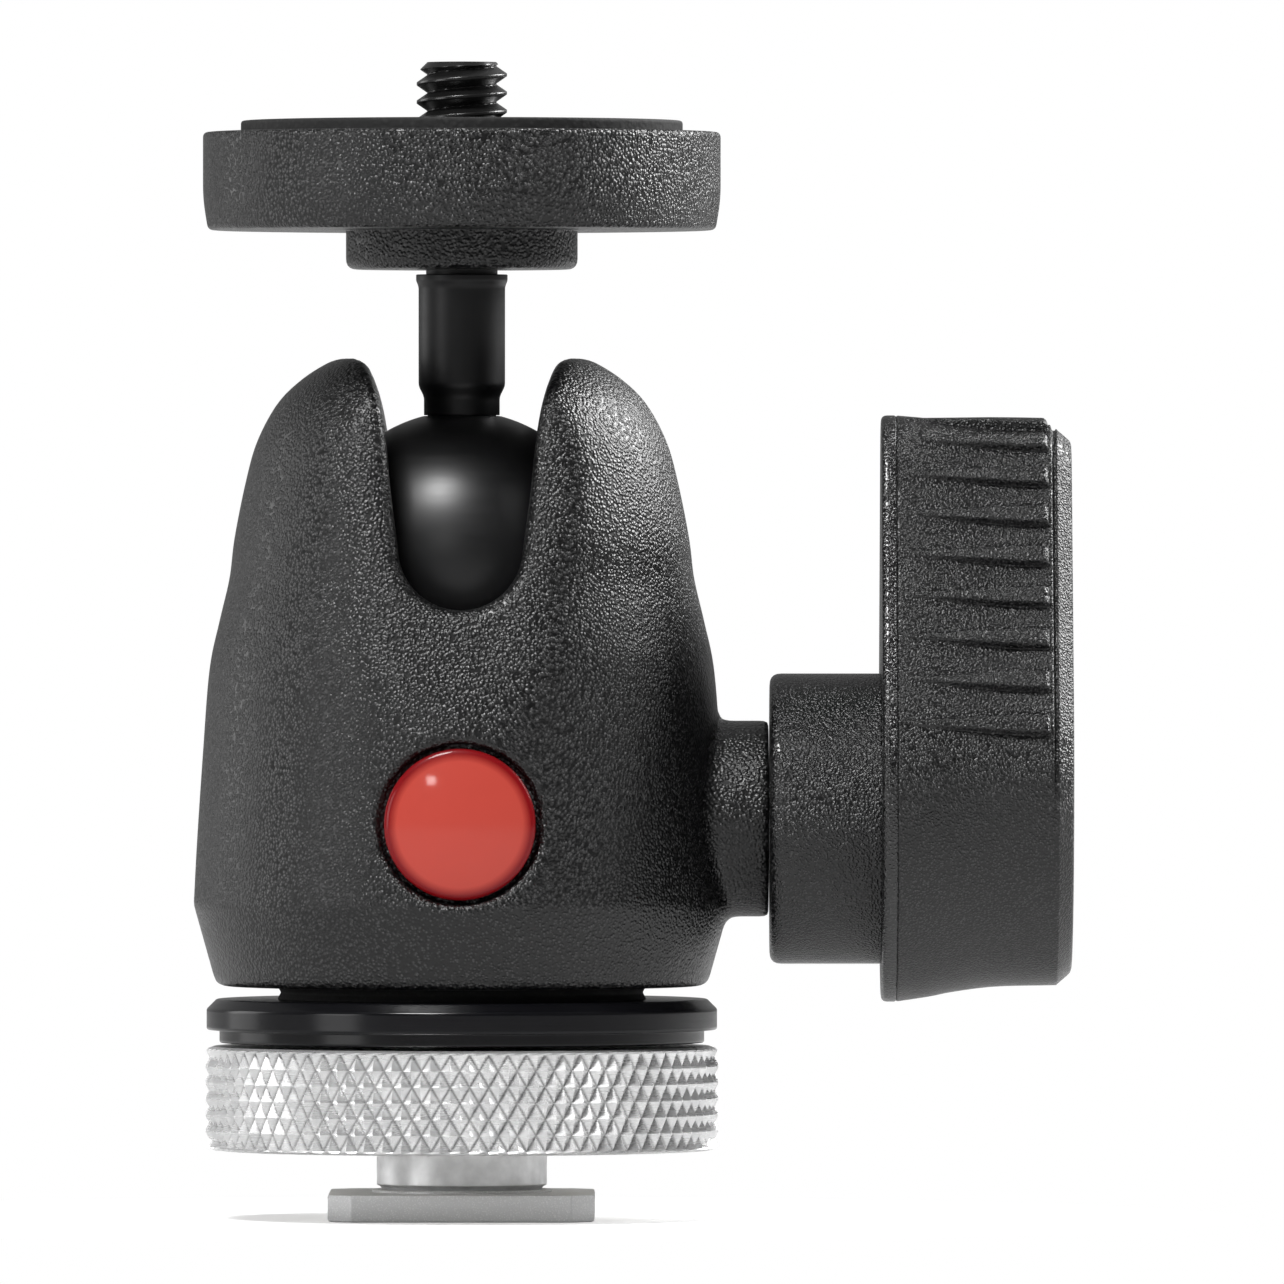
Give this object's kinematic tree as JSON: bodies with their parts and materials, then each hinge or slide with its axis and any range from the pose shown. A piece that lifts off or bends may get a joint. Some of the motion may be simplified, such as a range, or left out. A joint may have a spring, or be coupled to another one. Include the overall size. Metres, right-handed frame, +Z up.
{
  "type": "tripod ball head",
  "caption": "Mini ball head: slotted housing with a tilting ball, round camera platform with a screw, teardrop side locking knob, and a knurled ring clamp over an accessory shoe foot.",
  "frame": {"origin": "centre of the shoe foot's underside, on the ball's axis", "axes": "+Z up along the ball's axis towards the camera screw, +X along the locking knob's axis away from the housing, -Y to the front with the badge"},
  "size_m": [0.0613, 0.0377, 0.0809],
  "materials": {
    "painted_housing": "black pebbled powder coat, satin",
    "painted_plate": "black pebbled powder coat, satin",
    "black_anodised": "black anodised, satin",
    "bare_aluminium": "fine turned and diamond knurled",
    "spindle_aluminium": "turned, matt",
    "ball_black": "black finished, smooth satin",
    "stem_black": "black finished, satin",
    "screw_black": "black finished thread",
    "fastener_steel": "plated",
    "knob_plastic": "black, fine moulded grain",
    "hub_plastic": "black, fine grain",
    "cap_plastic": "black, satin",
    "nylon": "off-white, unfilled",
    "brass_bush": "turned",
    "plug_aluminium": "turned",
    "washer_rubber": "black, matt",
    "pad_rubber": "black, matt",
    "red_badge": "glossy red dome, plain"
  },
  "bodies": {
    "housing": {"body_casting": "painted_housing", "badge": "red_badge", "base_plug": "plug_aluminium", "lock_bush": "brass_bush", "spacer_washer": "washer_rubber", "flange_disc": "black_anodised", "spindle": "spindle_aluminium", "shoe_foot": "bare_aluminium", "foot_screw": "fastener_steel"},
    "ball": {"ball": "ball_black"},
    "platform": {"stem": "stem_black", "top_plate": "painted_plate", "rubber_pad": "pad_rubber", "camera_screw": "screw_black"},
    "wedge": {"wedge_pin": "fastener_steel"},
    "plunger": {"plunger": "plug_aluminium", "ball_cup": "nylon"},
    "knob": {"lock_stud": "fastener_steel", "knob_hub": "hub_plastic", "knob_back": "knob_plastic", "knob_grip": "knob_plastic", "knob_washer": "fastener_steel", "knob_bolt": "fastener_steel", "knob_cap": "cap_plastic"},
    "clamp_washer": {"clamp_washer": "nylon"},
    "clamp_ring": {"clamp_ring": "bare_aluminium"}
  },
  "joints": [
    {"name": "head_tilt", "type": "hinge", "parent": "housing", "child": "ball", "pos_m": [0, 0, 0.0459], "axis": [1, 0, 0], "range_deg": [-90, 90]},
    {"name": "head_turn", "type": "hinge", "parent": "ball", "child": "platform", "pos_m": [0, 0, 0.0459], "axis": [0, 0, 1], "continuous": true},
    {"name": "wedge_slide", "type": "slide", "parent": "housing", "child": "wedge", "axis": [1, 0, 0], "range_m": [0, 0.00052]},
    {"name": "knob_turn", "type": "hinge", "parent": "wedge", "child": "knob", "pos_m": [0.03, 0, 0.028], "axis": [1, 0, 0], "range_deg": [0, 150]},
    {"name": "plunger_lift", "type": "slide", "parent": "housing", "child": "plunger", "axis": [0, 0, 1], "range_m": [-0.00015, 0]},
    {"name": "ring_travel", "type": "slide", "parent": "housing", "child": "clamp_washer", "axis": [0, 0, 1], "range_m": [-0.00243, 0]},
    {"name": "ring_turn", "type": "hinge", "parent": "clamp_washer", "child": "clamp_ring", "pos_m": [0, 0, 0.0085], "axis": [0, 0, 1], "range_deg": [-700, 0]}
  ],
  "couplings": [
    {"joint": "knob_turn", "follows": "wedge_slide", "rad_per_m": 5026.5},
    {"joint": "plunger_lift", "follows": "wedge_slide", "ratio": -0.26795},
    {"joint": "ring_turn", "follows": "ring_travel", "rad_per_m": 5026.5}
  ]
}
